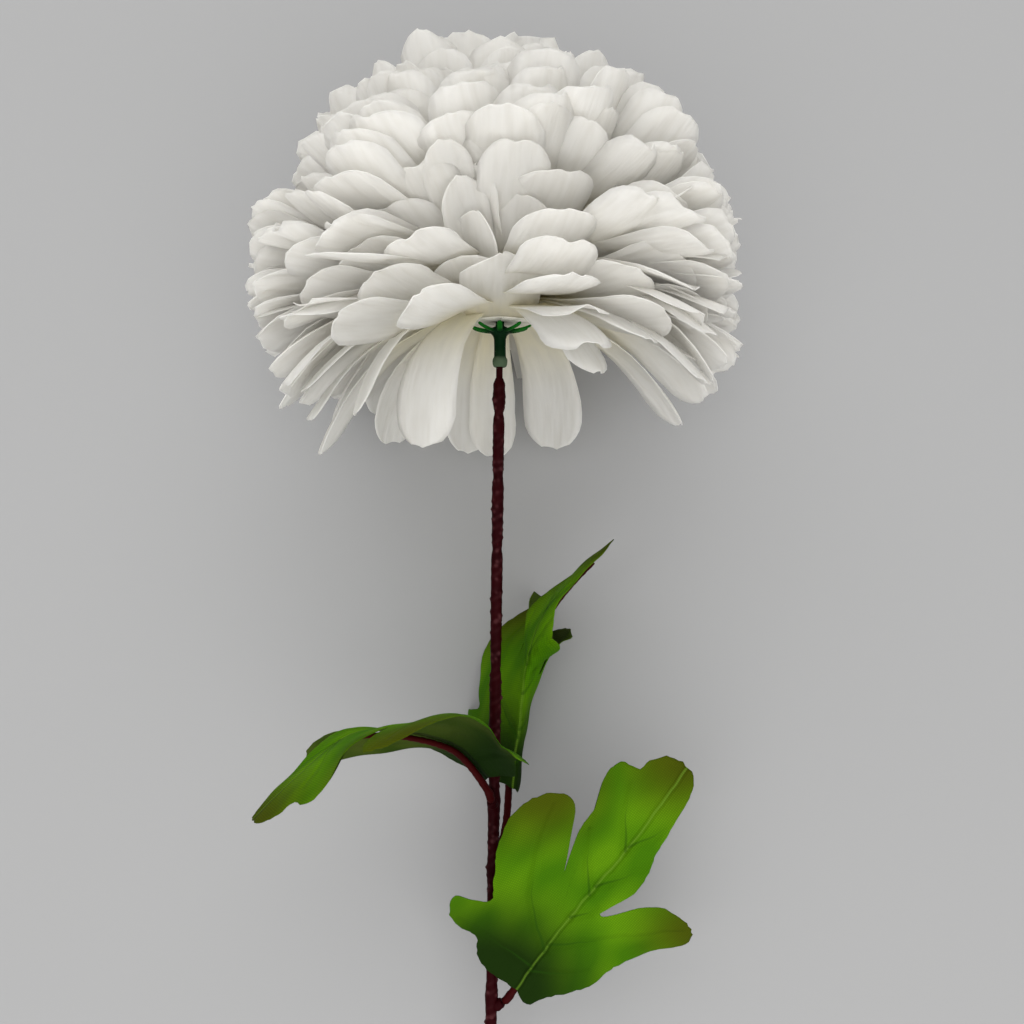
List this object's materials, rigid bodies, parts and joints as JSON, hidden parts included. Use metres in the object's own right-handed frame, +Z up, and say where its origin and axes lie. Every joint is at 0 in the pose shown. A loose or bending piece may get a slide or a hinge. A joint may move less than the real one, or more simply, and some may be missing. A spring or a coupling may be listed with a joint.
{
  "type": "pompon chrysanthemum",
  "caption": "Artificial pompon chrysanthemum on a cut stem: domed head of layered fabric petals, moulded calyx and lobed fabric leaves.",
  "frame": {"origin": "on the surface that the flower lies on, under the middle of its bounding box", "axes": "+Y along the lying flower from the cut end to the bloom, +Z up from the surface"},
  "size_m": [0.1896, 0.505, 0.174],
  "materials": {
    "petals": "matte",
    "calyx": "satin",
    "stem": "gloss",
    "wire": "satin",
    "leaves": "matte",
    "stalks": "gloss"
  },
  "bodies": {
    "root": {"bloom": "petals", "calyx": "calyx", "stem": "stem", "stem_wire": "wire", "leaf_front": "leaves", "leaf_left": "leaves", "leaf_back": "leaves", "stalk_front": "stalks", "stalk_left": "stalks", "stalk_back": "stalks"}
  },
  "joints": []
}
